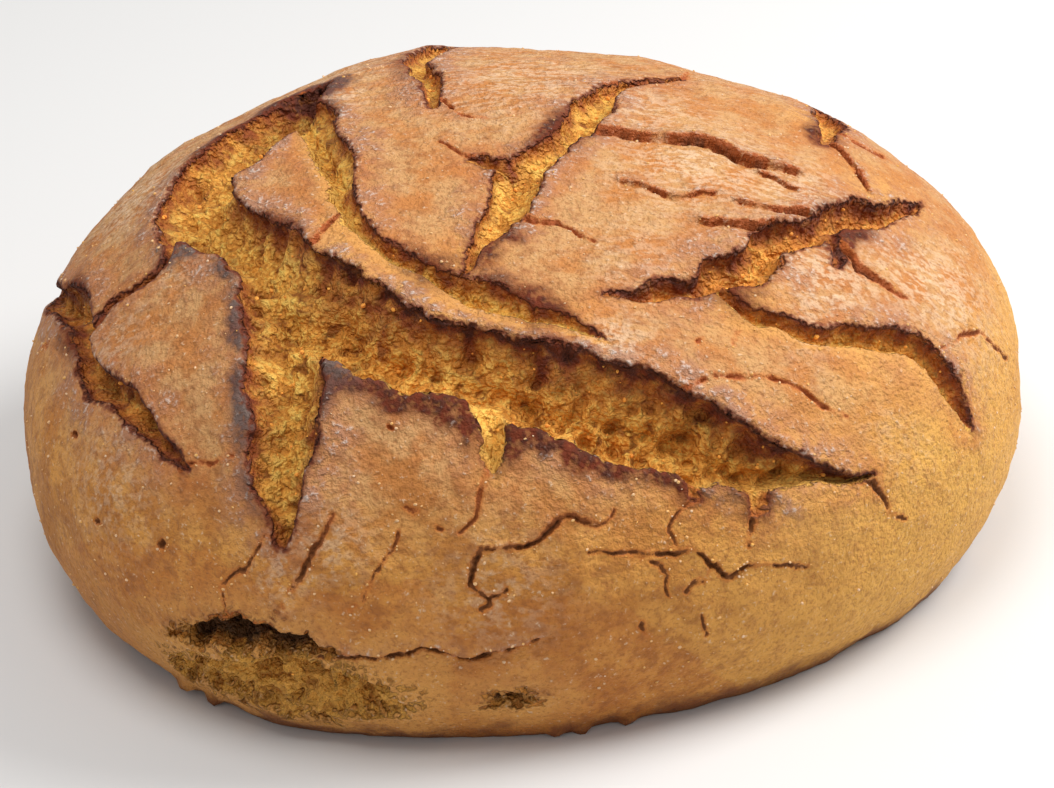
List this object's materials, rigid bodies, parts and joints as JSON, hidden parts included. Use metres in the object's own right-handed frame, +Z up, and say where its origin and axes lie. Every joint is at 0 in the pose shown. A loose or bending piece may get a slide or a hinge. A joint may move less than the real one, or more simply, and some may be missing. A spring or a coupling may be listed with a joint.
{
  "type": "corn bread loaf",
  "caption": "Round, low corn bread loaf with a cracked, burnt-edged crust, yellow crumb in the splits and a flat base.",
  "frame": {"origin": "the loaf's own upright axis, at the level of its flat base", "axes": "+Z up through the crown, -Y towards the side with the long gash, +X to that side's right"},
  "size_m": [0.2279, 0.2134, 0.1011],
  "materials": {
    "baked_corn_crust": "dry, matt, floury"
  },
  "bodies": {
    "root": {"loaf": "baked_corn_crust"}
  },
  "joints": []
}
